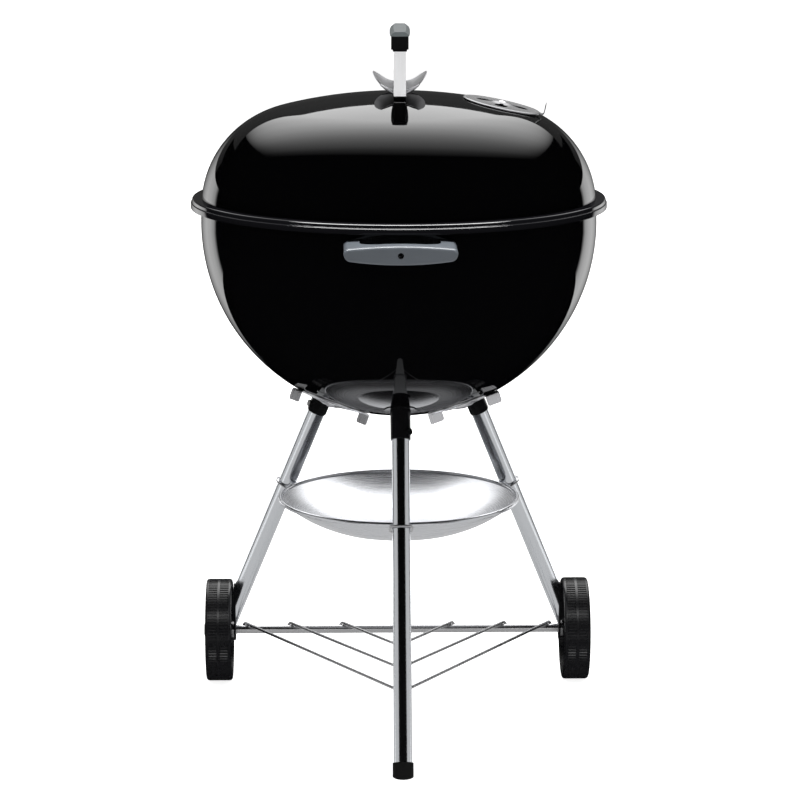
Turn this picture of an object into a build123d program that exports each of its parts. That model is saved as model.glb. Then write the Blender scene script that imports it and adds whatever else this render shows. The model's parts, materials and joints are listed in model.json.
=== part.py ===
from build123d import *
import os
from math import asin, atan, cos, degrees, radians, sin, sqrt, tan

# Kettle charcoal grill, 57 cm size.  Millimetres, +Z up, the front is at -Y.
# The origin is on the ground, straight below the kettle's vertical axis.

# ---------------------------------------------------------------- driving dimensions
SHEET = 1.5                    # enamelled steel of bowl and lid
FIT = 0.05                     # radial clearance of turning fits
GAP = 0.3                      # clearance between pieces that rest on or slide past each other

# bowl: a spherical bottom that rolls into a slightly tighter side, then a short straight wall
BOTTOM_RADIUS = 285.6
SIDE_RADIUS = 274.0
BLEND_ANGLE = 60               # below the horizon, where the two arcs meet
BOWL_BOTTOM = 437.0
BEAD_RADIUS = 3.7              # rolled rim
BEAD_HEIGHT = 743.6

# lid: a shallow crown, a tight knuckle and an outward flange that sits on the bowl's rolled rim
LID_TOP = 895.4
CROWN_RADIUS = 691.0
KNUCKLE_RADIUS = 143.7
KNUCKLE_OFFSET = 135.4         # knuckle centre, from the axis
WALL_LEAN = 5.7                # degrees, the lid's lowest wall leans inwards
FLANGE_RADIUS = 294.0
FLANGE_BOTTOM = 735.0
HOOK_REACH = 248.0             # lid hook, from the axis
HOOK_TOP = 799.0
HOOK_SHEET = 2.0
HOOK_WIDTH = 24.0

# legs: three tubes that point at the centre of the bowl's spherical bottom
TUBE_RADIUS = 12.7
TUBE_WALL = 1.2
LEG_LEAN = 24.67               # degrees from the vertical
FRONT_AZIMUTH = -90
RIGHT_AZIMUTH = 30
SOCKET_RADIUS = 14.3
SOCKET_LENGTH = 42.2
SOCKET_FLANGE_RADIUS = 23.0
SOCKET_FLANGE_SHEET = 1.2
BOLT_RADIUS = 3.0
BOLT_TURN = -50                # degrees round the leg, from its outer side
CAP_RADIUS = 14.3
CAP_LENGTH = 18.0

# wheels and axle
WHEEL_RADIUS = 76.2
WHEEL_INNER_X = 247.1
WHEEL_OUTER_X = 285.6
AXLE_RADIUS = 6.35
AXLE_Y = 136.3
LEG_CUT_X = 242.0              # upright plane that ends each rear leg beside its wheel
INSERT_SHEET = 2.6             # plate that closes the cut end of a rear leg
INSERT_BOSS_RADIUS = 16.0
HUB_RADIUS = 15.0
HUB_INSET = 1.5                # hub faces behind the faces of the tread
TREAD_DEPTH = 9.0
WASHER_RADIUS = 12.0

# bottom rack: three nested wire Vs that hook over the axle and close on a centre wire
RACK_WIRE = 2.2
RACK_HALF_WIDTHS = {"outer": 226.0, "middle": 158.5, "inner": 80.5}
RACK_TIPS_Y = {"outer": -255.0, "middle": -127.0, "inner": 2.0}
RACK_RISE = 0.028              # slope of the rack, upwards to the front leg
RACK_FRONT_Y = -273.8          # where the centre wire meets its tab on the front leg

# ash pan
PAN_RADIUS = 173.9
PAN_RIM_TOP = 314.8
PAN_BEAD = 3.2
PAN_BOTTOM = 270.6
PAN_FLAT_RADIUS = 99.0
PAN_WALL_BULGE = 4.0           # of the wall, from its straight chord
PAN_SHEET = 1.2
CLIP_WIRE = 1.5

# dampers: dished discs that turn on a rivet against the kettle's own curve
DISC_SHEET = 1.2
BOWL_DISC_RADIUS = 52.5
# each bowl damper's azimuth, tilt from straight down and turn at rest, in degrees
BOWL_DAMPERS = {"right": (-30, 21.6, 12), "left": (-153, 22.6, 0), "rear": (90, 21.6, 0)}
BRACKET_AZIMUTHS = {"right": -30, "left": -150, "rear": 90}
BOWL_TAB = (30.0, 17.0)        # width and height of each finger tab
LID_TAB = (20.0, 17.0)
TAB_GAP = 5.0                  # tab's distance outside its disc
LID_DISC_RADIUS = 55.5
LID_DISC_OFFSET = 145.2
LID_DISC_AZIMUTH = -6
VENT_RING_RADIUS = 27.0
VENT_HOLE_RADIUS = 8.0
DISC_HOLE_RADIUS = 10.0        # round end of each keyhole slot in a disc
DISC_THROAT_RADIUS = 3.0
RIVET_RADIUS = 4.0
RIVET_HEAD_RADIUS = 8.0
RIVET_HEAD_HEIGHT = 3.2

# grates
COOKING_RADIUS = 270.5
COOKING_HEIGHT = 690.0
COOKING_PITCH = 17.0
CHARCOAL_RADIUS = 216.0
CHARCOAL_PITCH = 26.0
RING_WIRE = 2.5
GRATE_WIRE = 2.0
BRACKET_REACH = 272.0          # middle of each grate bracket's ledge, from the kettle axis
BRACKET_WIDTH = 24.0
BRACKET_SHEET = 1.6
BRACKET_DROP = 34.0

# bowl handles, front and rear
HANDLE_REACH = 347.6
HANDLE_HALF_WIDTH = 75.0
HANDLE_HEIGHT = 715.5          # middle of the grip bar
HANDLE_HALF_HEIGHT = 12.8
HANDLE_CORNERS = (8.7, -7.0)   # heights of the upper and lower end corners above the bar's middle
HANDLE_CORNER_RADII = (6.8, 10.5)
HANDLE_RIM_RADIUS = 3.8
HANDLE_BAR = 24.0              # depth of the grip bar
HANDLE_ARM = 21.0              # width of each arm back to the bowl
HANDLE_WINDOW_RADIUS = 24.0    # corners of the finger opening, in plan
HANDLE_SHIFT = -3.4            # sideways, off the kettle axis
HANDLE_HOLE_RADIUS = 4.0
HANDLE_SCREW_X = 62.0
HANDLE_SCREW_RADIUS = 2.5

# lid handle
STRAP_WIDTH = 17.0
STRAP_SHEET = 3.0
STRAP_Y = 70.0
FOOT_RIVET_Y = 56.0
GRIP_BOTTOM = 961.6
GRIP_SPLIT = 979.7             # joint between the lower and the upper grip
GRIP_TOP = 986.0
GRIP_HALF_LENGTH = 80.0
GRIP_WIDTH = 24.4              # lower grip
GRIP_UPPER_ENDS = 25.4         # upper grip, at its ends and at mid length
GRIP_UPPER_MIDDLE = 28.8
GRIP_SCREW_Y = 35.0
GRIP_SCREW_RADIUS = 2.0
SHIELD_RADIUS = 46.0
SHIELD_HALF_WIDTH = 38.0
SHIELD_BOTTOM = 904.0
SHIELD_SHEET = 1.2
SHIELD_PLATE_HALF_WIDTH = 27.5  # end plates, where they leave the gutter
SHIELD_PLAN_RADIUS = 95.0      # half length of the ellipse that rounds the gutter off in plan
LID_HANDLE_TURN = -1.0         # degrees, the handle stands this much askew on the lid
LID_HANDLE_SHIFT = 1.4
SMALL_RIVET_RADIUS = 2.0

# ---------------------------------------------------------------- derived places
SPHERE_Z = BOWL_BOTTOM + BOTTOM_RADIUS
BLEND_SHIFT = BOTTOM_RADIUS - SIDE_RADIUS
SIDE_R = BLEND_SHIFT * cos(radians(BLEND_ANGLE))
SIDE_Z = SPHERE_Z - BLEND_SHIFT * sin(radians(BLEND_ANGLE))
BOWL_RADIUS = SIDE_R + SIDE_RADIUS
CROWN_Z = LID_TOP - CROWN_RADIUS
KNUCKLE_ANGLE = degrees(asin(KNUCKLE_OFFSET / (CROWN_RADIUS - KNUCKLE_RADIUS)))
KNUCKLE_Z = CROWN_Z + (CROWN_RADIUS - KNUCKLE_RADIUS) * cos(radians(KNUCKLE_ANGLE))
LEG_TAN = tan(radians(LEG_LEAN))
LEG_COS = cos(radians(LEG_LEAN))
AXLE_Z = WHEEL_RADIUS
LID_DISC_TILT = degrees(asin(LID_DISC_OFFSET / CROWN_RADIUS))
LEDGE_BOTTOM = BEAD_HEIGHT + BEAD_RADIUS + GAP
RACK_HEIGHT = AXLE_Z + AXLE_RADIUS + RACK_WIRE + 0.2
LID_HANDLE_PLACE = Pos(LID_HANDLE_SHIFT, 0, 0) * Rot(0, 0, LID_HANDLE_TURN)
RIVET_HOLE = SMALL_RIVET_RADIUS + 2 * FIT
SHIELD_END = STRAP_Y - STRAP_SHEET / 2 - FIT
BIG = 2000.0


def bowl_frame(azimuth, tilt):
    """Frame at the centre of the bowl's spherical bottom: z points down and out, x runs up the wall."""
    a = radians(azimuth)
    t = radians(tilt)
    outward = (cos(a) * sin(t), sin(a) * sin(t), -cos(t))
    uphill = (cos(a) * cos(t), sin(a) * cos(t), sin(t))
    return Plane(origin=(0, 0, SPHERE_Z), x_dir=uphill, z_dir=outward).location


def crown_frame(azimuth, tilt):
    """Frame at the centre of the lid's crown: z points up and out, x runs down the crown."""
    a = radians(azimuth)
    t = radians(tilt)
    outward = (cos(a) * sin(t), sin(a) * sin(t), cos(t))
    downhill = (cos(a) * cos(t), sin(a) * cos(t), -sin(t))
    return Plane(origin=(0, 0, CROWN_Z), x_dir=downhill, z_dir=outward).location


def rod(radius, start, length):
    """Cylinder on the local z axis."""
    return Pos(0, 0, start + length / 2) * Cylinder(radius, length)


def x_rod(radius, start, end):
    """Cylinder along X at the height and depth of the axle."""
    return Pos((start + end) / 2, AXLE_Y, AXLE_Z) * Rot(0, 90, 0) * Cylinder(radius, end - start)


def turned(edges):
    """Solid of revolution about the kettle axis from a closed outline in (radius, height)."""
    return revolve(Plane.XZ * make_face(Curve() + edges), Axis.Z)


def wire_piece(points, radii, wire_radius):
    """Round wire bent along straight runs, with one bend radius for each corner."""
    path = FilletPolyline(*points, radius=radii)
    section = Plane(origin=path @ 0, z_dir=path % 0) * Circle(wire_radius)
    return sweep(section, path=path)


def mirrored(part):
    return mirror(part, about=Plane.YZ)


# ---------------------------------------------------------------- bowl
def bowl_body(inset, top):
    """Filled bowl, its surface moved inwards by inset, closed flat at height top."""
    bottom = CenterArc((0, SPHERE_Z), BOTTOM_RADIUS - inset, -90, 90 - BLEND_ANGLE)
    side = CenterArc((SIDE_R, SIDE_Z), SIDE_RADIUS - inset, -BLEND_ANGLE, BLEND_ANGLE)
    wall = Line(side @ 1, (BOWL_RADIUS - inset, top))
    mouth = Line(wall @ 1, (0, top))
    axis_line = Line(mouth @ 1, bottom @ 0)
    return turned([bottom, side, wall, mouth, axis_line])


def vent_holes(radius, start, length):
    """Four round holes on the vent's ring, in a damper's own frame."""
    return [Rot(0, 0, turn) * Pos(VENT_RING_RADIUS, 0, 0) * rod(radius, start, length)
            for turn in (0, 90, 180, 270)]


def handle_screw_places():
    """Frames of the bowl handle screws: z points out of the kettle, front pair first."""
    places = []
    for side in (0, 180):
        for x in (-HANDLE_SCREW_X, HANDLE_SCREW_X):
            places.append(Rot(0, 0, side) * Pos(HANDLE_SHIFT + x, 0, HANDLE_HEIGHT) * Rot(90, 0, 0))
    return places


def bowl():
    shell = bowl_body(0, BEAD_HEIGHT) - bowl_body(SHEET, BEAD_HEIGHT + 1)
    bead_centre = BOWL_RADIUS - SHEET + BEAD_RADIUS
    shell += Pos(0, 0, BEAD_HEIGHT) * Torus(bead_centre, BEAD_RADIUS)
    cuts = []
    for azimuth, tilt, _ in BOWL_DAMPERS.values():
        place = bowl_frame(azimuth, tilt)
        cuts += [place * hole for hole in vent_holes(VENT_HOLE_RADIUS, BOTTOM_RADIUS - 20, 40)]
        cuts.append(place * rod(RIVET_RADIUS + FIT, BOTTOM_RADIUS - 20, 40))
    for place in handle_screw_places():
        cuts.append(place * rod(HANDLE_SCREW_RADIUS + GAP, BOWL_RADIUS - 40, 60))
    return shell - cuts


# ---------------------------------------------------------------- dampers and their rivets
def damper(sphere_radius, disc_radius, turns, tab_size):
    """Dished disc in its own frame, with turned-out finger tabs at the given turns."""
    tab_width, tab_height = tab_size
    low = sphere_radius + GAP
    edge_angle = degrees(asin(disc_radius / low))
    inner = CenterArc((0, 0), low, 90 - edge_angle, edge_angle)
    outer = CenterArc((0, 0), low + DISC_SHEET, 90 - edge_angle, edge_angle)
    outline = [inner, outer, Line(inner @ 0, outer @ 0), Line(inner @ 1, outer @ 1)]
    disc = revolve(Plane.XZ * make_face(Curve() + outline), Axis.Z)
    edge_height = (outer @ 0).Y
    for turn in turns:
        tongue = Pos(disc_radius + TAB_GAP - 4, 0, edge_height) * Box(8, tab_width, DISC_SHEET)
        tab_centre = edge_height + (tab_height - DISC_SHEET) / 2
        tab = Pos(disc_radius + TAB_GAP, 0, tab_centre) * Box(DISC_SHEET, tab_width, tab_height)
        disc += Rot(0, 0, turn) * (tongue + tab)
    cuts = [rod(RIVET_RADIUS + FIT, low - 10, 20)]
    for turn in (0, 90, 180, 270):
        round_end = Pos(VENT_RING_RADIUS, 0, 0) * rod(DISC_HOLE_RADIUS, low - 10, 20)
        throat_offset = VENT_RING_RADIUS - DISC_HOLE_RADIUS - 1
        throat = Pos(throat_offset, 0, 0) * rod(DISC_THROAT_RADIUS, low - 10, 20)
        cuts.append(Rot(0, 0, turn) * (round_end + throat))
    return disc - cuts


def rivet(sphere_radius):
    """Domed rivet through sheet and damper, in the damper's frame."""
    head_start = sphere_radius + 2 * GAP + DISC_SHEET
    shank = rod(RIVET_RADIUS, sphere_radius - SHEET - 1, head_start - sphere_radius + SHEET + 2)
    dome_radius = (RIVET_HEAD_RADIUS ** 2 + RIVET_HEAD_HEIGHT ** 2) / (2 * RIVET_HEAD_HEIGHT)
    dome = Pos(0, 0, head_start + RIVET_HEAD_HEIGHT - dome_radius) * Sphere(dome_radius)
    dome = dome & rod(RIVET_HEAD_RADIUS + 1, head_start, RIVET_HEAD_HEIGHT + 1)
    tail = rod(RIVET_RADIUS + 2.5, sphere_radius - SHEET - 2.2, 2)
    return shank + dome + tail


# ---------------------------------------------------------------- legs, sockets, caps and inserts
def leg_start():
    return BOTTOM_RADIUS + 6


def leg_end():
    return SPHERE_Z / LEG_COS


def leg_tube(end):
    start = leg_start()
    return rod(TUBE_RADIUS, start, end - start) - rod(TUBE_RADIUS - TUBE_WALL, start - 1, end - start + 2)


def bolt_axis(start, length, radius):
    """Round bar across the socket, along the direction of its bolt."""
    along = BOTTOM_RADIUS + SOCKET_LENGTH - 10
    return Pos(0, 0, along) * Rot(0, 0, BOLT_TURN) * Rot(0, 90, 0) * rod(radius, start, length)


def socket():
    """Short sleeve welded square to the bowl through a dished flange."""
    flange = rod(SOCKET_FLANGE_RADIUS, BOTTOM_RADIUS - 20, 40)
    flange = flange & (Sphere(BOTTOM_RADIUS + SOCKET_FLANGE_SHEET) - Sphere(BOTTOM_RADIUS))
    sleeve = rod(SOCKET_RADIUS, BOTTOM_RADIUS - 10, SOCKET_LENGTH + 10) - Sphere(BOTTOM_RADIUS)
    sleeve -= rod(TUBE_RADIUS + FIT, leg_start() - 1, SOCKET_LENGTH + 20)
    return flange + sleeve - bolt_hole()


def bolt_hole():
    return bolt_axis(0, 30, BOLT_RADIUS + 2 * FIT)


def socket_bolt():
    shank = bolt_axis(TUBE_RADIUS - 5, SOCKET_RADIUS - TUBE_RADIUS + 6, BOLT_RADIUS)
    head = bolt_axis(SOCKET_RADIUS + 2 * FIT, BOLT_RADIUS, BOLT_RADIUS + 2)
    return shank + head


def front_leg():
    place = bowl_frame(FRONT_AZIMUTH, LEG_LEAN)
    tube = leg_tube(leg_end() - 12) - bolt_hole()
    return place * (tube - rack_screw_hole())


def foot_cap():
    """Rubber cup over the front tube, cut flat where it stands on the ground."""
    place = bowl_frame(FRONT_AZIMUTH, LEG_LEAN)
    cup = rod(CAP_RADIUS, leg_end() - CAP_LENGTH, CAP_LENGTH + 10)
    cup -= rod(TUBE_RADIUS + FIT, leg_end() - CAP_LENGTH - 1, CAP_LENGTH - 10)
    return place * cup - Pos(0, 0, -BIG / 2) * Box(BIG, BIG, BIG)


def rear_leg(side):
    """Tube on the right (side 1) or the left (side -1), cut off upright beside its wheel."""
    azimuth = 90 - side * (90 - RIGHT_AZIMUTH)
    tube = bowl_frame(azimuth, LEG_LEAN) * (leg_tube(leg_end() - 60) - bolt_hole())
    return tube - Pos(side * (LEG_CUT_X + BIG / 2), 0, 0) * Box(BIG, BIG, BIG)


def right_insert():
    """Plastic end piece: a plug in the tube, a plate over its slanting cut and a boss for the axle."""
    cut_y = LEG_CUT_X * tan(radians(RIGHT_AZIMUTH))
    cut_height = SPHERE_Z - LEG_CUT_X / cos(radians(RIGHT_AZIMUTH)) / LEG_TAN
    slope = degrees(atan(sin(radians(RIGHT_AZIMUTH)) * LEG_TAN))
    stretch = 1 / (cos(radians(RIGHT_AZIMUTH)) * sin(radians(LEG_LEAN)))
    cut_outline = Pos(cut_y, cut_height) * Rot(0, 0, slope) * Ellipse(TUBE_RADIUS, TUBE_RADIUS * stretch)
    boss = Pos(AXLE_Y, AXLE_Z) * Circle(INSERT_BOSS_RADIUS)
    outline = make_hull((boss + cut_outline).edges())
    plate = extrude(Plane.YZ.offset(LEG_CUT_X + FIT) * outline, INSERT_SHEET)
    plug = bowl_frame(RIGHT_AZIMUTH, LEG_LEAN) * rod(TUBE_RADIUS - TUBE_WALL - FIT, leg_end() - 150, 110)
    plug -= Pos(LEG_CUT_X + INSERT_SHEET / 2 + BIG / 2, 0, 0) * Box(BIG, BIG, BIG)
    return plug + plate - x_rod(AXLE_RADIUS + FIT, LEG_CUT_X - 40, WHEEL_OUTER_X)


# ---------------------------------------------------------------- wheels and axle
def right_wheel():
    """One-piece wheel: a tread ring, a thin web and a long hub."""
    middle = (WHEEL_INNER_X + WHEEL_OUTER_X) / 2
    width = WHEEL_OUTER_X - WHEEL_INNER_X
    tyre = fillet(Cylinder(WHEEL_RADIUS, width).edges().filter_by(GeomType.CIRCLE), 5)
    tyre -= Cylinder(WHEEL_RADIUS - TREAD_DEPTH, width + 2)
    web = Cylinder(WHEEL_RADIUS - TREAD_DEPTH + 1, 5)
    hub = Cylinder(HUB_RADIUS, width - 2 * HUB_INSET)
    wheel = tyre + web + hub - Cylinder(AXLE_RADIUS + FIT, width + 2)
    return Pos(middle, AXLE_Y, AXLE_Z) * Rot(0, 90, 0) * wheel


def right_washer():
    """Spacer on the axle between the insert's plate and the wheel's hub."""
    start = LEG_CUT_X + INSERT_SHEET + 2 * FIT + GAP
    end = WHEEL_INNER_X + HUB_INSET - GAP
    return x_rod(WASHER_RADIUS, start, end) - x_rod(AXLE_RADIUS + FIT, start - 1, end + 1)


def right_axle_cap():
    """Push-on cap that keeps the wheel on the axle."""
    start = WHEEL_OUTER_X - HUB_INSET + GAP
    cap = x_rod(WASHER_RADIUS - 1, start, WHEEL_OUTER_X + 4)
    cap = fillet(cap.edges().filter_by(GeomType.CIRCLE).sort_by(Axis.X)[-1], 3)
    return cap - x_rod(AXLE_RADIUS + FIT, start - 1, WHEEL_OUTER_X + 1.6)


def axle():
    return x_rod(AXLE_RADIUS, -WHEEL_OUTER_X - 1.5, WHEEL_OUTER_X + 1.5)


# ---------------------------------------------------------------- bottom rack
def rack_height(y):
    """Height of the V wires' centre line."""
    return RACK_HEIGHT + RACK_RISE * (AXLE_Y - y)


def rack_wire(half_width, tip_y):
    """One V: from a hook over the axle to the tip and back to the other hook."""
    run = Vector(half_width, AXLE_Y - tip_y).normalized()
    over = 10.0
    hook_x = half_width + over * run.X
    hook_y = AXLE_Y + over * run.Y
    top = rack_height(AXLE_Y)
    points = [(-hook_x, hook_y, top - 17), (-hook_x, hook_y, top), (0, tip_y, rack_height(tip_y)),
              (hook_x, hook_y, top), (hook_x, hook_y, top - 17)]
    return wire_piece(points, [8.5, 14, 8.5], RACK_WIRE)


def rack_tab_place():
    """Distance along the front leg of the rack's fixing tab."""
    side = TUBE_RADIUS + 1.3
    drop = rack_height(RACK_FRONT_Y) - 2 * RACK_WIRE
    return (SPHERE_Z - drop - side * sin(radians(LEG_LEAN))) / LEG_COS


def rack_screw_hole():
    along = rack_tab_place() - 10
    return Pos(0, 0, along) * Rot(0, -90, 0) * rod(2.1, 0, 30)


def rack_spine():
    """Centre wire under the three tips, welded to a tab on the inner side of the front leg."""
    frame = bowl_frame(FRONT_AZIMUTH, LEG_LEAN)
    tab = Pos(-TUBE_RADIUS - 1.1, 0, rack_tab_place() - 5) * Box(2, 16, 26)
    tab = frame * (tab - rack_screw_hole())
    drop = 2 * RACK_WIRE + FIT
    back = Vector(0, RACK_TIPS_Y["inner"] + 20, rack_height(RACK_TIPS_Y["inner"] + 20) - drop)
    front = Vector(0, RACK_FRONT_Y, rack_height(RACK_FRONT_Y) - drop)
    run = front - back
    wire = Plane(origin=back, z_dir=run).location * rod(RACK_WIRE, 0, run.length)
    return tab + wire


def rack_screw():
    along = rack_tab_place() - 10
    start = TUBE_RADIUS + 2.2
    shank = rod(2, TUBE_RADIUS - 6, 9)
    head = rod(4, start, 2.5)
    return bowl_frame(FRONT_AZIMUTH, LEG_LEAN) * Pos(0, 0, along) * Rot(0, -90, 0) * (shank + head)


# ---------------------------------------------------------------- ash pan and its clips
def pan_body(lift):
    """Filled ash pan, its surface raised by lift."""
    rim = (PAN_RADIUS - PAN_BEAD - 0.6, PAN_RIM_TOP - PAN_BEAD - 1)
    floor = Line((0, PAN_BOTTOM), (PAN_FLAT_RADIUS, PAN_BOTTOM))
    wall = SagittaArc(floor @ 1, rim, -PAN_WALL_BULGE)
    mouth = Line(wall @ 1, (0, rim[1]))
    axis_line = Line(mouth @ 1, floor @ 0)
    return Pos(0, 0, lift) * turned([floor, wall, mouth, axis_line])


def pan_clip(azimuth, wire_radius):
    """Wire loop round a leg, with both ends through the pan's wall."""
    leg_radius = (SPHERE_Z - 318) * LEG_TAN
    loop = leg_radius + TUBE_RADIUS / LEG_COS + CLIP_WIRE + 0.8
    points = []
    for side in (1, -1):
        half = [(157, side * 11, 297), (173, side * 15.2, 303.5), (loop, side * 15.2, 318)]
        points += half if side > 0 else half[::-1]
    return Rot(0, 0, azimuth) * wire_piece(points, [5, 12.5, 12.5, 5], wire_radius)


def ash_pan():
    pan = pan_body(0) - pan_body(PAN_SHEET)
    pan += Pos(0, 0, PAN_RIM_TOP - PAN_BEAD) * Torus(PAN_RADIUS - PAN_BEAD, PAN_BEAD)
    holes = [pan_clip(azimuth, CLIP_WIRE + 0.4) for azimuth in leg_azimuths().values()]
    return pan - holes


def leg_azimuths():
    return {"front": FRONT_AZIMUTH, "right": RIGHT_AZIMUTH, "left": 180 - RIGHT_AZIMUTH}


# ---------------------------------------------------------------- grates
def grate(outer_radius, height, pitch, wire, brace_y, brace_inset):
    """Ring with parallel rods in its plane and two braces welded underneath."""
    ring_radius = outer_radius - RING_WIRE
    pieces = []
    count = int(ring_radius / pitch)
    for i in range(-count, count + 1):
        half = sqrt(ring_radius ** 2 - (i * pitch) ** 2)
        if half > 40:
            pieces.append(Pos(i * pitch, 0, height) * Rot(90, 0, 0) * Cylinder(wire, 2 * half))
    brace_drop = wire + RING_WIRE - 0.4
    for y in (-brace_y, brace_y):
        half = sqrt((ring_radius - brace_inset) ** 2 - y ** 2)
        pieces.append(Pos(0, y, height - brace_drop) * Rot(0, 90, 0) * Cylinder(RING_WIRE, 2 * half))
    ring = Pos(0, 0, height) * Torus(ring_radius, RING_WIRE)
    return ring + pieces


def grate_handle(side):
    """Lifting loop that stands on the grate's outer rods."""
    base = COOKING_HEIGHT + RING_WIRE
    x = side * 9 * COOKING_PITCH
    points = [(x, -45, base), (x, -45, base + 24), (x, 45, base + 24), (x, 45, base)]
    return wire_piece(points, [10, 10], RING_WIRE)


def cooking_grate():
    height = COOKING_HEIGHT + RING_WIRE
    body = grate(COOKING_RADIUS, height, COOKING_PITCH, GRATE_WIRE, 110, 0)
    return body + [grate_handle(-1), grate_handle(1)]


def charcoal_height():
    """Height at which the charcoal grate's ring rests on the bowl's inner wall."""
    reach = SIDE_RADIUS - SHEET - RING_WIRE - GAP
    return SIDE_Z - sqrt(reach ** 2 - (CHARCOAL_RADIUS - RING_WIRE - SIDE_R) ** 2)


def charcoal_grate():
    return grate(CHARCOAL_RADIUS, charcoal_height(), CHARCOAL_PITCH, RING_WIRE, 80, 12)


def grate_bracket():
    """Ledge with a strap down the bowl's wall."""
    top = COOKING_HEIGHT - GAP
    ledge = Pos(BRACKET_REACH, 0, top - BRACKET_SHEET / 2) * Box(22, BRACKET_WIDTH, BRACKET_SHEET)
    strap = Pos(BRACKET_REACH, 0, top - BRACKET_DROP / 2) * Box(22, BRACKET_WIDTH, BRACKET_DROP)
    cavity = bowl_body(SHEET, BEAD_HEIGHT)
    strap = (strap & cavity) - bowl_body(SHEET + BRACKET_SHEET, BEAD_HEIGHT)
    return (ledge & cavity) + strap


# ---------------------------------------------------------------- bowl handles
def handle_face():
    """Front outline of the bowl handle: two long shallow arcs, rounder below than above at the ends."""
    upper_end, lower_end = HANDLE_CORNERS
    upper = ThreePointArc((-HANDLE_HALF_WIDTH, upper_end), (0, HANDLE_HALF_HEIGHT),
                          (HANDLE_HALF_WIDTH, upper_end))
    lower = ThreePointArc((-HANDLE_HALF_WIDTH, lower_end), (0, -HANDLE_HALF_HEIGHT),
                          (HANDLE_HALF_WIDTH, lower_end))
    face = make_face(Curve() + [upper, lower, Line(upper @ 0, lower @ 0), Line(upper @ 1, lower @ 1)])
    upper_radius, lower_radius = HANDLE_CORNER_RADII
    face = fillet(face.vertices().sort_by(Axis.Y)[2:], upper_radius)
    return fillet(face.vertices().sort_by(Axis.Y)[:2], lower_radius)


def bowl_handle():
    """Front handle: a lens-shaped bar on two arms that end on the bowl's wall."""
    front = Plane.XZ.offset(HANDLE_REACH) * Pos(HANDLE_SHIFT, HANDLE_HEIGHT, 0) * handle_face()
    block = extrude(front, -100)
    gap_half_width = HANDLE_HALF_WIDTH - HANDLE_ARM
    gap_front = HANDLE_REACH - HANDLE_BAR
    window = fillet(Box(2 * gap_half_width, 200, 60).edges().filter_by(Axis.Z), HANDLE_WINDOW_RADIUS)
    block -= Pos(HANDLE_SHIFT, 100 - gap_front, HANDLE_HEIGHT) * window
    block -= bowl_body(-FIT, BIG)
    block -= Pos(HANDLE_SHIFT, 0, HANDLE_HEIGHT) * Rot(90, 0, 0) * rod(HANDLE_HOLE_RADIUS, 300, 100)
    for place in handle_screw_places()[:2]:
        block -= place * rod(HANDLE_SCREW_RADIUS + FIT, 250, 60)
    rim = block.faces().sort_by(Axis.Y)[0].outer_wire().edges()
    return fillet(rim, HANDLE_RIM_RADIUS)


def handle_screw():
    """Pan-head screw from inside the bowl, in its own frame."""
    reach = HANDLE_SCREW_X + 5 - HANDLE_SHIFT
    start = sqrt((BOWL_RADIUS - SHEET) ** 2 - reach ** 2) - 3.2
    return rod(5, start, 3) + rod(HANDLE_SCREW_RADIUS, start + 1, 36)


# ---------------------------------------------------------------- lid
def lid_body(inset, floor):
    """Filled lid, its surface moved inwards by inset, closed flat at height floor."""
    crown = CenterArc((0, CROWN_Z), CROWN_RADIUS - inset, 90 - KNUCKLE_ANGLE, KNUCKLE_ANGLE)
    sweep_angle = 90 - KNUCKLE_ANGLE - WALL_LEAN
    knuckle = CenterArc((KNUCKLE_OFFSET, KNUCKLE_Z), KNUCKLE_RADIUS - inset, WALL_LEAN, sweep_angle)
    wall = Line(knuckle @ 0, ((knuckle @ 0).X, floor))
    base = Line(wall @ 1, (0, floor))
    axis_line = Line(base @ 1, crown @ 1)
    return turned([crown, knuckle, wall, base, axis_line])


def lid_wall_bottom():
    return KNUCKLE_Z + KNUCKLE_RADIUS * sin(radians(WALL_LEAN))


def lid_flange():
    """Ledge that rests on the bowl's rim, with a skirt outside it."""
    inner = KNUCKLE_OFFSET + (KNUCKLE_RADIUS - SHEET) * cos(radians(WALL_LEAN))
    top = LEDGE_BOTTOM + SHEET
    skirt_inner = FLANGE_RADIUS - SHEET
    outline = Polyline((inner, LEDGE_BOTTOM), (skirt_inner, LEDGE_BOTTOM), (skirt_inner, FLANGE_BOTTOM),
                       (FLANGE_RADIUS, FLANGE_BOTTOM), (FLANGE_RADIUS, top), (inner, top), close=True)
    face = make_face(outline)
    outer_corner = face.vertices().sort_by_distance((FLANGE_RADIUS, top))[0]
    face = fillet([outer_corner], 4)
    inner_corner = face.vertices().sort_by_distance((skirt_inner, LEDGE_BOTTOM))[0]
    face = fillet([inner_corner], 2.5)
    return revolve(Plane.XZ * face, Axis.Z)


def lid():
    shell = lid_body(0, LEDGE_BOTTOM) - lid_body(SHEET, LEDGE_BOTTOM - 1)
    shell += lid_flange()
    place = crown_frame(LID_DISC_AZIMUTH, LID_DISC_TILT)
    cuts = [place * hole for hole in vent_holes(VENT_HOLE_RADIUS, CROWN_RADIUS - 15, 30)]
    cuts.append(place * rod(RIVET_RADIUS + FIT, CROWN_RADIUS - 15, 30))
    return shell - cuts


def crown_height(offset):
    return CROWN_Z + sqrt(CROWN_RADIUS ** 2 - offset ** 2)


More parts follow.
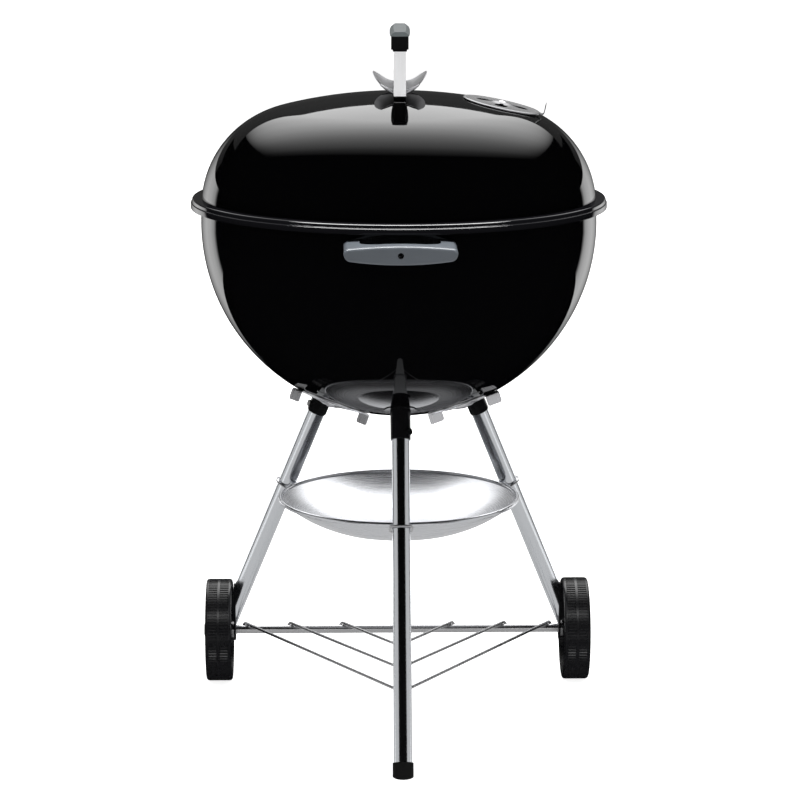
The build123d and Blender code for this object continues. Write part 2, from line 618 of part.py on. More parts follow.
def lid_strap():
    """Steel strap bent into a bridge, its feet turned inwards on the crown."""
    half = STRAP_SHEET / 2
    foot_y = STRAP_Y - 24
    foot_lift = half + 0.2
    foot_height = crown_height(FOOT_RIVET_Y)
    bridge = GRIP_SPLIT - 0.1 - half
    points = [(-foot_y, crown_height(foot_y) + foot_lift), (-STRAP_Y, crown_height(STRAP_Y) + foot_lift),
              (-STRAP_Y, bridge), (STRAP_Y, bridge),
              (STRAP_Y, crown_height(STRAP_Y) + foot_lift), (foot_y, crown_height(foot_y) + foot_lift)]
    path = FilletPolyline(*points, radius=[3, 1.6, 1.6, 3])
    strap = extrude(Plane.YZ * trace(path, STRAP_SHEET), STRAP_WIDTH / 2, both=True)
    cuts = []
    for side in (-1, 1):
        cuts.append(Pos(0, side * GRIP_SCREW_Y, bridge) * Cylinder(GRIP_SCREW_RADIUS + GAP, 10))
        cuts.append(Pos(0, side * FOOT_RIVET_Y, foot_height) * Cylinder(RIVET_HOLE, 12))
        cuts.append(shield_rivet_hole(side))
    return strap - cuts


def foot_rivets():
    """Dome-headed rivets that hold the strap's feet on the crown."""
    rivets = []
    for side in (-1, 1):
        base = Pos(0, side * FOOT_RIVET_Y, crown_height(FOOT_RIVET_Y))
        head = Pos(0, 0, STRAP_SHEET + 1.8) * Cylinder(2 * SMALL_RIVET_RADIUS, 2)
        shank = Pos(0, 0, 2.2) * Cylinder(SMALL_RIVET_RADIUS, 3.6)
        rivets.append(base * (head + shank))
    return Compound(rivets)


def shield_rivet_place(side):
    """Frame on the strap's mid plane: z points to the middle of the handle."""
    return Pos(0, side * STRAP_Y, SHIELD_BOTTOM - 3) * Rot(side * 90, 0, 0)


def shield_rivet_hole(side):
    return shield_rivet_place(side) * Cylinder(RIVET_HOLE, 12)


def shield_rivet(side):
    """Rivet through the strap and the heat shield's end plate."""
    back = STRAP_SHEET / 2 + SHIELD_SHEET + FIT
    shank = rod(SMALL_RIVET_RADIUS, -STRAP_SHEET / 2, STRAP_SHEET / 2 + back + 0.5)
    return shield_rivet_place(side) * (shank + rod(SMALL_RIVET_RADIUS + 0.7, back + 0.1, 1.4))


def shield_rivets():
    return Compound([shield_rivet(side) for side in (-1, 1)])


def shield_end_plate():
    """Front outline of the plate that closes each end of the gutter and runs down beside the strap."""
    half = SHIELD_PLATE_HALF_WIDTH
    foot_half = STRAP_WIDTH / 2 + 1
    foot = SHIELD_BOTTOM - 10
    top = SHIELD_BOTTOM + SHIELD_RADIUS - sqrt(SHIELD_RADIUS ** 2 - half ** 2)
    bend = (0.8 * half, (top + foot) / 2)
    gutter = ThreePointArc((-half, top), (0, SHIELD_BOTTOM), (half, top))
    right = ThreePointArc((half, top), bend, (foot_half, foot))
    left = ThreePointArc((-foot_half, foot), (-bend[0], bend[1]), (-half, top))
    base = Line(right @ 1, left @ 0)
    plate = Plane.XZ.offset(SHIELD_END - SHIELD_SHEET) * make_face(Curve() + [gutter, right, base, left])
    foot_slot = Pos(0, -SHIELD_END, foot - 4) * Box(STRAP_WIDTH + 1, 20, 16)
    return extrude(plate, SHIELD_SHEET) - foot_slot


def heat_shield():
    """Gutter under the grip, rounded off in plan, with a plate at each end against the strap."""
    centre = SHIELD_BOTTOM + SHIELD_RADIUS
    spread = degrees(asin(SHIELD_HALF_WIDTH / SHIELD_RADIUS))
    arc = CenterArc((0, centre), SHIELD_RADIUS - SHIELD_SHEET / 2, -90 - spread, 2 * spread)
    gutter = extrude(Plane.XZ * trace(arc, SHIELD_SHEET), SHIELD_END, both=True)
    plan = Plane.XY.offset(SHIELD_BOTTOM - 10) * Ellipse(SHIELD_HALF_WIDTH, SHIELD_PLAN_RADIUS)
    gutter = gutter & extrude(plan, 60)
    plate = shield_end_plate()
    gutter = gutter + plate + Rot(0, 0, 180) * plate
    return gutter - [shield_rivet_hole(side) for side in (-1, 1)]


def grip_lower():
    """Black lower grip with a channel for the strap and counterbored screw holes."""
    height = GRIP_SPLIT - GRIP_BOTTOM
    body = Pos(0, 0, GRIP_BOTTOM + height / 2) * Box(GRIP_WIDTH, 2 * GRIP_HALF_LENGTH, height)
    body = fillet(body.edges().filter_by(Axis.Z), 4)
    neck = Box(STRAP_WIDTH + 3, 9, 4)
    for side in (-1, 1):
        body += Pos(0, side * STRAP_Y, GRIP_BOTTOM - 1) * neck
    slot_width = STRAP_WIDTH + 4 * FIT
    slot_depth = STRAP_SHEET + 4 * FIT
    cuts = [Pos(0, 0, GRIP_SPLIT) * Box(slot_width, 2 * STRAP_Y + slot_depth, 2 * slot_depth)]
    for side in (-1, 1):
        screw_place = Pos(0, side * GRIP_SCREW_Y, GRIP_BOTTOM)
        cuts.append(Pos(0, side * STRAP_Y, GRIP_BOTTOM + 10) * Box(slot_width, slot_depth, 60))
        cuts.append(screw_place * Cylinder(GRIP_SCREW_RADIUS + GAP, 60))
        cuts.append(screw_place * Cylinder(2 * GRIP_SCREW_RADIUS + GAP, 8))
    return body - cuts


def grip_upper():
    """Grey upper grip: widest at mid length, with a roof-shaped section."""
    height = GRIP_TOP - GRIP_SPLIT - 2 * FIT
    half_end = GRIP_UPPER_ENDS / 2
    half_middle = GRIP_UPPER_MIDDLE / 2
    length = GRIP_HALF_LENGTH + 1
    right = ThreePointArc((half_end, -length), (half_middle, 0), (half_end, length))
    left = ThreePointArc((-half_end, length), (-half_middle, 0), (-half_end, -length))
    plan = make_face(Curve() + [right, Line(right @ 1, left @ 0), left, Line(left @ 1, right @ 0)])
    body = extrude(Plane.XY.offset(GRIP_TOP - height) * plan, height)
    roof_edges = body.edges().group_by(Axis.Z)[-1].filter_by(GeomType.CIRCLE)
    body = chamfer(roof_edges, length=4.4, length2=5.6)
    for side in (-1, 1):
        screw_place = Pos(0, side * GRIP_SCREW_Y, GRIP_SPLIT)
        body -= screw_place * Cylinder(GRIP_SCREW_RADIUS + FIT, 8)
    return body


def grip_screws():
    screws = []
    for side in (-1, 1):
        place = Pos(0, side * GRIP_SCREW_Y, GRIP_BOTTOM)
        head = Pos(0, 0, 2.4) * Cylinder(2 * GRIP_SCREW_RADIUS, 3)
        shank = Pos(0, 0, 12) * Cylinder(GRIP_SCREW_RADIUS, 19)
        screws.append(place * (head + shank))
    return Compound(screws)


def lid_hook():
    """Strip inside the rear of the lid that hangs it on the side of the bowl."""
    top = (HOOK_REACH, HOOK_TOP)
    bend = (HOOK_REACH + 4, HOOK_TOP - 27)
    tip = (HOOK_REACH, HOOK_TOP - 35)
    path = FilletPolyline((HOOK_REACH + 22, HOOK_TOP + 2), top, bend, tip, radius=[4, 6])
    strip = extrude(Plane.XZ * trace(path, HOOK_SHEET), HOOK_WIDTH / 2, both=True)
    strip = strip & lid_body(SHEET, LEDGE_BOTTOM)
    return Rot(0, 0, 90) * strip


# ---------------------------------------------------------------- write one file for each node
def nodes():
    yield "bowl", bowl()
    for name, azimuth in leg_azimuths().items():
        place = bowl_frame(azimuth, LEG_LEAN)
        yield "leg_socket_" + name, place * socket()
        yield "pan_clip_" + name, pan_clip(azimuth, CLIP_WIRE)
    bolts = [bowl_frame(azimuth, LEG_LEAN) * socket_bolt() for azimuth in leg_azimuths().values()]
    yield "socket_bolts", Compound(bolts)
    yield "leg_front", front_leg()
    yield "leg_right", rear_leg(1)
    yield "leg_left", rear_leg(-1)
    yield "foot_cap", foot_cap()
    for name, build in (("axle_insert", right_insert), ("wheel", right_wheel),
                        ("wheel_washer", right_washer), ("axle_cap", right_axle_cap)):
        right = build()
        yield name + "_right", right
        yield name + "_left", mirrored(right)
    yield "axle", axle()
    for name, half_width in RACK_HALF_WIDTHS.items():
        yield "rack_wire_" + name, rack_wire(half_width, RACK_TIPS_Y[name])
    yield "rack_spine", rack_spine()
    yield "rack_screw", rack_screw()
    yield "ash_pan", ash_pan()
    yield "charcoal_grate", charcoal_grate()
    yield "cooking_grate", cooking_grate()
    handle = bowl_handle()
    yield "bowl_handle_front", handle
    yield "bowl_handle_rear", Rot(0, 0, 180) * handle
    yield "bowl_handle_screws", Compound([place * handle_screw() for place in handle_screw_places()])
    rivets = []
    for name, (azimuth, tilt, rest_turn) in BOWL_DAMPERS.items():
        place = bowl_frame(azimuth, tilt)
        disc = damper(BOTTOM_RADIUS, BOWL_DISC_RADIUS, (0, 180), BOWL_TAB)
        yield "bowl_damper_" + name, place * Rot(0, 0, rest_turn) * disc
        rivets.append(place * rivet(BOTTOM_RADIUS))
    yield "bowl_damper_rivets", Compound(rivets)
    for name, azimuth in BRACKET_AZIMUTHS.items():
        yield "grate_bracket_" + name, Rot(0, 0, azimuth) * grate_bracket()
    yield "lid", lid()
    place = crown_frame(LID_DISC_AZIMUTH, LID_DISC_TILT)
    yield "lid_damper", place * damper(CROWN_RADIUS, LID_DISC_RADIUS, (0,), LID_TAB)
    yield "lid_damper_rivet", place * rivet(CROWN_RADIUS)
    for name, build in (("lid_handle_strap", lid_strap), ("lid_handle_rivets", foot_rivets),
                        ("heat_shield", heat_shield), ("shield_rivets", shield_rivets),
                        ("lid_grip_lower", grip_lower), ("lid_grip_upper", grip_upper),
                        ("lid_grip_screws", grip_screws)):
        yield name, LID_HANDLE_PLACE * build()
    yield "lid_hook", lid_hook()


os.makedirs("parts", exist_ok=True)
for node_name, shape in nodes():
    export_step(shape, "parts/" + node_name + ".step")
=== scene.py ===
import bmesh
import bpy
import json
from math import asin, cos, degrees, pi, radians, sin, sqrt, tan
from mathutils import Matrix, Vector

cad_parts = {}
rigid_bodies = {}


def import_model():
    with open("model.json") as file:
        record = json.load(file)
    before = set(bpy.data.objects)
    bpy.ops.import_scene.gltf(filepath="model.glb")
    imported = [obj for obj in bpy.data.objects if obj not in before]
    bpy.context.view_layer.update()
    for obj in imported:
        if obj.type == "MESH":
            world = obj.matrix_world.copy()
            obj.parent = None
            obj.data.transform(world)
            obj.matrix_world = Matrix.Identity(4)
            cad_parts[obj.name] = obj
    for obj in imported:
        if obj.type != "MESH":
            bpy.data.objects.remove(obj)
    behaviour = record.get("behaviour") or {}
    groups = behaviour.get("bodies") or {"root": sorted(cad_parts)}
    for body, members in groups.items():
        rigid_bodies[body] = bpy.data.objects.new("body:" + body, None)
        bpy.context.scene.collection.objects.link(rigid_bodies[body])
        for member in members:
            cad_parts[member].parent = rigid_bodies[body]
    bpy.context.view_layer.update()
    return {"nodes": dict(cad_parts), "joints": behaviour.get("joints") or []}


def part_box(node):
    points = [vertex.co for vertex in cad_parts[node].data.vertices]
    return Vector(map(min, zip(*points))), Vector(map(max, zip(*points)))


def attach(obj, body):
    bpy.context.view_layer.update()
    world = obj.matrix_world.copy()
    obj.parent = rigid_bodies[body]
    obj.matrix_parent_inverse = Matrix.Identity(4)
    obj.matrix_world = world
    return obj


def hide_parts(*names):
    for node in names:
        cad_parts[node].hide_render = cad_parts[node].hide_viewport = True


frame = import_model()
nodes = frame["nodes"]
joints = {joint["child"]: joint for joint in frame["joints"]}

# ------------------------------------------------------------------ dimensions of the CAD model, metres
SHEET = 0.0015
BOTTOM_RADIUS = 0.2856         # bowl: spherical bottom, then a tighter side
SIDE_RADIUS = 0.274
BLEND_ANGLE = 60               # degrees below the level where they meet
BOWL_BOTTOM = 0.437
BEAD_RADIUS = 0.0037
BEAD_HEIGHT = 0.7436
LID_TOP = 0.8954               # lid: crown, knuckle and flange
CROWN_RADIUS = 0.691
KNUCKLE_RADIUS = 0.1437
KNUCKLE_OFFSET = 0.1354
WALL_LEAN = 5.7                # degrees from upright at the foot of the lid's wall
FLANGE_RADIUS = 0.294
FLANGE_BOTTOM = 0.735
FLANGE_TOP = 0.7491
VENT_RING_RADIUS = 0.027
VENT_HOLE_RADIUS = 0.008
RIVET_RADIUS = 0.004
DISC_SHEET = 0.0012
DISC_GAP = 0.0003              # between a kettle wall and its damper
BOTTOM_DISC_RADIUS = 0.0525
LID_DISC_RADIUS = 0.0555
BOTTOM_TAB = (0.030, 0.017)    # width and height of a finger tab
LID_TAB = (0.020, 0.017)
RIGHT_DISC_TURN = 12           # degrees that the right damper's slots and tabs are turned at rest
WHEEL_RADIUS = 0.0762
WHEEL_INNER_X = 0.2471
WHEEL_OUTER_X = 0.2856
AXLE_RADIUS = 0.00635
SHIELD_RADIUS = 0.046
SHIELD_HALF_WIDTH = 0.038
SHIELD_BOTTOM = 0.904
SHIELD_END = 0.0684
SHIELD_PLAN_RADIUS = 0.095
LID_HANDLE_TURN = -1.0         # degrees about the kettle's axis
LID_HANDLE_SHIFT = 0.0014

SPHERE_Z = BOWL_BOTTOM + BOTTOM_RADIUS
BLEND_SHIFT = BOTTOM_RADIUS - SIDE_RADIUS
SIDE_R = BLEND_SHIFT * cos(radians(BLEND_ANGLE))
SIDE_Z = SPHERE_Z - BLEND_SHIFT * sin(radians(BLEND_ANGLE))
BOWL_RADIUS = SIDE_R + SIDE_RADIUS
CROWN_Z = LID_TOP - CROWN_RADIUS
KNUCKLE_ANGLE = degrees(asin(KNUCKLE_OFFSET / (CROWN_RADIUS - KNUCKLE_RADIUS)))
KNUCKLE_Z = CROWN_Z + (CROWN_RADIUS - KNUCKLE_RADIUS) * cos(radians(KNUCKLE_ANGLE))

# ------------------------------------------------------------------ details of the visual pieces, metres
FLANGE_STEP_DROP = 0.0056      # from the flange's top down to the step in its skirt
FLANGE_STEP_DEPTH = 0.0018
FLANGE_STEP_HEIGHT = 0.0008
LEDGE_OVERLAP = 0.0002         # of the ledge's top with the lid's wall
SKIRT_LEAN = 0.0022            # of the skirt's inner face, up to the ledge

MIDDLE_RISE = 0.0022           # damper disc: pressed middle, valley and rolled rim, above the wall
VALLEY_RISE = 0.0001
RIM_RISE = 0.0012
SLOT_END_RADIUS = 0.0095       # keyhole slot: round end over the vent hole, throat by the rivet
SLOT_THROAT = 0.003            # half width and end radius of the throat
THROAT_PLACE = 0.0165          # of the throat's end, from the rivet
TAB_OVERLAP = 0.003            # of a finger tab on its disc
TAB_REACH = 0.005              # of a finger tab beyond its disc
TAB_BEND = 0.003
TAB_CORNER = 0.004

RIBS = 104                     # cross ribs in each of the two rows round a wheel
STEPS_PER_RIB = 4
RIB_MARGIN = 0.0045            # plain edge of the tread outside the rows
RIB_GAP = 0.0018               # half the plain band between the rows
RIB_RAMP = 0.0008              # slope at the end of a groove
GROOVE_DEPTH = 0.0012
RIM_DEPTH = 0.009              # wheel rim, from the tread inwards
RIM_BEVEL = 0.002              # of the rim's inner edges, across and along the axle
RIM_CHAMFER = 0.0005
RIM_FILLET = 0.004             # from the rim in to the web proper
WEB_EDGE_OUTER = (0.010, 0.0065)    # distance from the middle, at the rim and inside the fillet
WEB_EDGE_INNER = (-0.001, -0.004)   # the same on the inner side, inside the fillet and at the rim
SHOULDER = 0.001               # from the tread in to where its rounding starts
RIM_ROUND = 0.001
TREAD_ROUND = 0.0035
HUB_RADIUS = 0.0155
HUB_FACE_RADIUS = 0.0145
HUB_INSET = 0.0015             # of the hub's faces from the rim's
HUB_ROUND = 0.003
AXLE_PLAY = 0.0005
WEB_OUTER = ((0.034, 0.004), (0.024, 0.006), (0.0165, 0.009))     # (radius, distance from the middle)
WEB_INNER = ((0.0165, 0.001), (0.026, -0.001))
SPOKES = 8
SPOKE_BEVEL = 0.0009
SPOKE_STATIONS = (             # distance from the axle, half width, foot and top along the axle
    (0.0150, 0.0030, 0.004, 0.0135),
    (0.035, 0.0026, 0.003, 0.0100),
    (WHEEL_RADIUS - 0.0085, 0.0034, 0.005, 0.0125),
)

SHIELD_SHEET = 0.0012
SHIELD_BEND = 0.0055           # radius where the shield turns down at its ends
SHIELD_NARROWING = 0.68        # share of its width that an end plate loses on the way down
SHIELD_FOOT = 0.8945
SHIELD_FOOT_RISE = 0.004       # of the foot, at the plate's sides

LATHE_STEPS = 288              # round the bowl and the lid
DISC_STEPS = 96
POLE_GAP = 0.01                # degrees left open round the axis, so that no face is a point
CUT_REACH = 0.01               # of a hole cutter on both sides of a wall
SLOT_REACH = 0.012
SMOOTH_ANGLE = 35              # degrees between faces, above which an edge is drawn sharp
LID_SMOOTH_ANGLE = 50
WHEEL_SMOOTH_ANGLE = 30
FOLDED_SMOOTH_ANGLE = 60

# ------------------------------------------------------------------ camera
CAMERA_DISTANCE = 4.269        # metres in front of the kettle axis
CAMERA_SHIFT = 0.00165         # metres to the right of it
CAMERA_HEIGHT = 1.3135
CAMERA_PITCH = 11.383          # degrees below the horizon
CAMERA_TURN = -1.04            # degrees round the kettle axis
CAMERA_LENS = 136.6            # millimetres, on a sensor 36 wide
CAMERA_REACH = 200             # metres, past the floor's far edge


def add_camera():
    turn = Matrix.Rotation(radians(CAMERA_TURN), 4, "Z")
    data = bpy.data.cameras.new("camera")
    data.lens = CAMERA_LENS
    data.clip_end = CAMERA_REACH
    camera = bpy.data.objects.new("camera", data)
    camera.location = turn @ Vector((CAMERA_SHIFT, -CAMERA_DISTANCE, CAMERA_HEIGHT))
    camera.rotation_euler = (radians(90 - CAMERA_PITCH), 0, radians(CAMERA_TURN))
    bpy.context.scene.collection.objects.link(camera)
    bpy.context.scene.camera = camera


# ------------------------------------------------------------------ materials
class Surface:
    """A new material with its Principled shader and short helpers for the nodes that feed it."""

    def __init__(self, name, colour, roughness, metallic=0.0, **sockets):
        self.material = bpy.data.materials.new(name)
        self.material.use_nodes = True
        self.tree = self.material.node_tree
        self.shader = self.tree.nodes["Principled BSDF"]
        self.shader.inputs["Base Color"].default_value = (*colour, 1)
        self.shader.inputs["Roughness"].default_value = roughness
        self.shader.inputs["Metallic"].default_value = metallic
        for socket, value in sockets.items():
            self.shader.inputs[socket.replace("_", " ")].default_value = value
        self.place = self.tree.nodes.new("ShaderNodeTexCoord").outputs["Object"]

    def link(self, source, target):
        self.tree.links.new(source, target)

    def stretched(self, scale):
        """Object coordinates multiplied by scale along X, Y and Z."""
        node = self.tree.nodes.new("ShaderNodeMapping")
        node.inputs["Scale"].default_value = scale
        self.link(self.place, node.inputs["Vector"])
        return node.outputs["Vector"]

    def rings(self, centre, axis):
        """Distance from an axis through centre, as a vector, so that noise on it forms rings."""
        shift = self.tree.nodes.new("ShaderNodeVectorMath")
        shift.operation = "SUBTRACT"
        shift.inputs[1].default_value = centre
        self.link(self.place, shift.inputs[0])
        cross = self.tree.nodes.new("ShaderNodeVectorMath")
        cross.operation = "CROSS_PRODUCT"
        cross.inputs[1].default_value = axis
        self.link(shift.outputs[0], cross.inputs[0])
        length = self.tree.nodes.new("ShaderNodeVectorMath")
        length.operation = "LENGTH"
        self.link(cross.outputs[0], length.inputs[0])
        join = self.tree.nodes.new("ShaderNodeCombineXYZ")
        self.link(length.outputs["Value"], join.inputs["X"])
        return join.outputs["Vector"]

    def noise(self, scale, detail=3.0, vector=None):
        node = self.tree.nodes.new("ShaderNodeTexNoise")
        node.inputs["Scale"].default_value = scale
        node.inputs["Detail"].default_value = detail
        self.link(vector or self.place, node.inputs["Vector"])
        return node.outputs["Fac"]

    def spread(self, value, low, high):
        """value, from 0 to 1, spread from low to high."""
        node = self.tree.nodes.new("ShaderNodeMapRange")
        node.inputs["To Min"].default_value = low
        node.inputs["To Max"].default_value = high
        self.link(value, node.inputs["Value"])
        return node.outputs["Result"]

    def tint(self, value, dark, light):
        """Base colour that runs from dark to light with value."""
        node = self.tree.nodes.new("ShaderNodeMix")
        node.data_type = "RGBA"
        node.inputs["A"].default_value = (*dark, 1)
        node.inputs["B"].default_value = (*light, 1)
        self.link(value, node.inputs["Factor"])
        self.link(node.outputs["Result"], self.shader.inputs["Base Color"])

    def roughen(self, value, low, high):
        """Roughness that runs from low to high with value."""
        self.link(self.spread(value, low, high), self.shader.inputs["Roughness"])

    def bump(self, value, distance):
        """Surface relief of value, distance metres deep."""
        node = self.tree.nodes.new("ShaderNodeBump")
        node.inputs["Strength"].default_value = 1.0
        node.inputs["Distance"].default_value = distance
        self.link(value, node.inputs["Height"])
        self.link(node.outputs["Normal"], self.shader.inputs["Normal"])


def enamel():
    """Gloss black porcelain enamel with a faint orange peel and handling haze."""
    m = Surface("gloss_enamel", (0.001, 0.001, 0.0012), 0.03, IOR=1.38)
    m.roughen(m.noise(9), 0.02, 0.05)
    m.bump(m.noise(70, 2), 0.00001)
    return m.material


def metal(name, colour, low, high, streaks, depth):
    """Metal with fine streaks: streaks scales the noise along X, Y and Z."""
    m = Surface(name, colour, low, 1.0)
    grain = m.noise(1, 4, m.stretched(streaks))
    m.roughen(grain, low, high)
    m.tint(grain, [c * 0.92 for c in colour], colour)
    m.bump(grain, depth)
    return m.material


def spun_metal(name, colour, low, high, centre, axis):
    """Metal turned on a lathe: its fine rings run round the given axis."""
    m = Surface(name, colour, low, 1.0)
    grain = m.noise(900, 3, m.rings(centre, axis))
    m.roughen(grain, low, high)
    m.tint(m.noise(14), [c * 0.9 for c in colour], colour)
    m.bump(grain, 0.00002)
    return m.material


def plastic(name, colour, roughness, grain_scale, grain_depth, **sockets):
    """Moulded plastic or rubber, or satin paint, with a fine grain."""
    m = Surface(name, colour, roughness, **sockets)
    m.tint(m.noise(25), [c * 0.85 for c in colour], [c * 1.1 for c in colour])
    m.roughen(m.noise(60), roughness - 0.05, roughness + 0.06)
    m.bump(m.noise(grain_scale, 2), grain_depth)
    return m.material


def paint(piece, material):
    piece.data.materials.clear()
    piece.data.materials.append(material)


def middle(node):
    low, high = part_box(node)
    return (low + high) / 2


# ------------------------------------------------------------------ mesh helpers
def arc(centre, radius, start, end, count):
    """Points (radius, height) on an arc from start to end, in degrees."""
    points = []
    for i in range(count + 1):
        angle = radians(start + (end - start) * i / count)
        points.append((centre[0] + radius * cos(angle), centre[1] + radius * sin(angle)))
    return points


def rounded(corners, radii, count=4):
    """Open polyline with each inner corner replaced by an arc of its radius."""
    points = [corners[0]]
    for before, corner, after, radius in zip(corners, corners[1:], corners[2:], radii):
        here = Vector(corner)
        back = (Vector(before) - here).normalized()
        ahead = (Vector(after) - here).normalized()
        half = back.angle(ahead) / 2
        reach = radius / tan(half)
        for i in range(count + 1):
            t = i / count
            start = here + back * reach
            end = here + ahead * reach
            weight = 2 * t * (1 - t) * sin(half)
            mix = (1 - t) ** 2 * start + t ** 2 * end + weight * here
            points.append(tuple(mix / ((1 - t) ** 2 + t ** 2 + weight)))
    return points + [corners[-1]]


def add_mesh(name, vertices, faces, place=Matrix(), smooth_angle=SMOOTH_ANGLE):
    mesh = bpy.data.meshes.new(name)
    mesh.from_pydata([place @ Vector(v) for v in vertices], [], faces)
    piece = bpy.data.objects.new(name, mesh)
    bpy.context.scene.collection.objects.link(piece)
    finish_mesh(mesh, smooth_angle)
    return piece


def finish_mesh(mesh, smooth_angle):
    """Outward normals, smooth shading, and sharp edges where faces meet at a real corner."""
    bm = bmesh.new()
    bm.from_mesh(mesh)
    bmesh.ops.remove_doubles(bm, verts=bm.verts, dist=1e-6)
    bmesh.ops.recalc_face_normals(bm, faces=bm.faces)
    for face in bm.faces:
        face.smooth = True
    for edge in bm.edges:
        edge.smooth = not (edge.is_manifold and edge.calc_face_angle() > radians(smooth_angle))
    bm.to_mesh(mesh)
    bm.free()


def lathe(outline, steps, closed=True, stretch=None):
    """Vertices and faces of outline (radius, height) turned about Z; stretch may alter the radius."""
    vertices = []
    faces = []
    rows = len(outline)
    for i in range(steps):
        angle = 2 * pi * i / steps
        for j, (r, z) in enumerate(outline):
            reach = stretch(r, z, i) if stretch else r
            vertices.append((reach * cos(angle), reach * sin(angle), z))
    last = rows if closed else rows - 1
    for i in range(steps):
        for j in range(last):
            a = i * rows + j
            b = i * rows + (j + 1) % rows
            c = (i + 1) % steps * rows + (j + 1) % rows
            d = (i + 1) % steps * rows + j
            faces.append((a, b, c, d))
    return vertices, faces


def rod_mesh(radius, low, high, steps=32):
    """Plain closed cylinder on Z, for cutting holes."""
    vertices, faces = lathe([(radius, low), (radius, high)], steps, closed=False)
    faces.append(tuple(2 * i for i in range(steps)))
    faces.append(tuple(2 * i + 1 for i in range(steps)))
    return vertices, faces


def grid(rows):
    """Vertices and faces of an open sheet through rows of points, all rows of one length."""
    count = len(rows[0])
    vertices = [point for row in rows for point in row]
    faces = []
    for j in range(len(rows) - 1):
        for i in range(count - 1):
            a = j * count + i
            faces.append((a, a + 1, a + count + 1, a + count))
    return vertices, faces


def prism(outline, low, high):
    """Closed prism over an outline in the XY plane."""
    count = len(outline)
    vertices = [(x, y, low) for x, y in outline] + [(x, y, high) for x, y in outline]
    faces = [(i, (i + 1) % count, (i + 1) % count + count, i + count) for i in range(count)]
    return vertices, faces + [tuple(range(count)), tuple(range(count, 2 * count))]


def apply_modifier(piece, smooth_angle):
    """Makes the piece's modified shape its mesh."""
    graph = bpy.context.evaluated_depsgraph_get()
    piece.data = bpy.data.meshes.new_from_object(piece.evaluated_get(graph))
    piece.modifiers.clear()
    finish_mesh(piece.data, smooth_angle)


def cut(piece, cutters, smooth_angle=SMOOTH_ANGLE):
    """Takes the cutters, a list of (vertices, faces, place), out of the piece."""
    vertices = []
    faces = []
    for points, loops, place in cutters:
        base = len(vertices)
        vertices += [place @ Vector(p) for p in points]
        faces += [tuple(base + i for i in loop) for loop in loops]
    tool = add_mesh("cutter", vertices, faces)
    modifier = piece.modifiers.new("holes", "BOOLEAN")
    modifier.operation = "DIFFERENCE"
    modifier.solver = "EXACT"
    modifier.object = tool
    apply_modifier(piece, smooth_angle)
    bpy.data.objects.remove(tool)


def thicken(piece, thickness):
    """Gives an open sheet its thickness, half on each side."""
    modifier = piece.modifiers.new("sheet", "SOLIDIFY")
    modifier.thickness = thickness
    modifier.offset = 0
    apply_modifier(piece, SMOOTH_ANGLE)


def merge_into(piece, other):
    """Adds the mesh of other to the piece, and removes other."""
    bm = bmesh.new()
    bm.from_mesh(piece.data)
    bm.from_mesh(other.data)
    bm.to_mesh(piece.data)
    bm.free()
    bpy.data.objects.remove(other)


def frame_at(origin, z_axis, x_axis):
    """Placement matrix with the given z and x directions."""
    z = Vector(z_axis).normalized()
    x = Vector(x_axis)
    x = (x - z * x.dot(z)).normalized()
    y = z.cross(x)
    matrix = Matrix((x, y, z)).transposed().to_4x4()
    matrix.translation = origin
    return matrix


def damper_place(name):
    """Frame of a damper: z out of the kettle along its joint, x up the bowl or down the crown."""
    joint = joints[name]
    axis = Vector(joint["axis"])
    uphill = Vector((axis.x, axis.y, 0))
    centre = Vector((0, 0, CROWN_Z if name == "lid_damper" else SPHERE_Z))
    return frame_at(centre, axis, uphill)


def use(piece, node, body, material):
    """The piece stands for a CAD node on its body, in the given material."""
    paint(piece, material)
    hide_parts(node)
    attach(piece, body)


# ------------------------------------------------------------------ bowl and lid
def vent_cutters(name, radius):
    """Hole cutters of one vent: four round holes and the rivet's hole."""
    place = damper_place(name)
    cutters = []
    for turn in range(4):
        quarter = Matrix.Rotation(turn * pi / 2, 4, "Z")
        spot = place @ quarter @ Matrix.Translation((VENT_RING_RADIUS, 0, 0))
        cutters.append((*rod_mesh(VENT_HOLE_RADIUS, radius - CUT_REACH, radius + CUT_REACH), spot))
    cutters.append((*rod_mesh(RIVET_RADIUS, radius - CUT_REACH, radius + CUT_REACH), place))
    return cutters


def build_bowl(material):
    """Thin shell with a rolled rim, and the vent holes under the three bottom dampers."""
    centre_bottom = (0, SPHERE_Z)
    centre_side = (SIDE_R, SIDE_Z)
    outer = arc(centre_bottom, BOTTOM_RADIUS, -90 + POLE_GAP, -BLEND_ANGLE, 24)
    outer += arc(centre_side, SIDE_RADIUS, -BLEND_ANGLE, 0, 48)[1:]
    bead_centre = (BOWL_RADIUS - SHEET + BEAD_RADIUS, BEAD_HEIGHT)
    bead = arc(bead_centre, BEAD_RADIUS, -140, 180, 28)
    inner = arc(centre_side, SIDE_RADIUS - SHEET, 0, -BLEND_ANGLE, 32)
    inner += arc(centre_bottom, BOTTOM_RADIUS - SHEET, -BLEND_ANGLE, -90 + POLE_GAP, 16)[1:]
    piece = add_mesh("bowl_shell", *lathe(outer + bead + inner, LATHE_STEPS))
    cutters = []
    for name in ("bowl_damper_right", "bowl_damper_left", "bowl_damper_rear"):
        cutters += vent_cutters(name, BOTTOM_RADIUS)
    cut(piece, cutters)
    use(piece, "bowl", "stand", material)


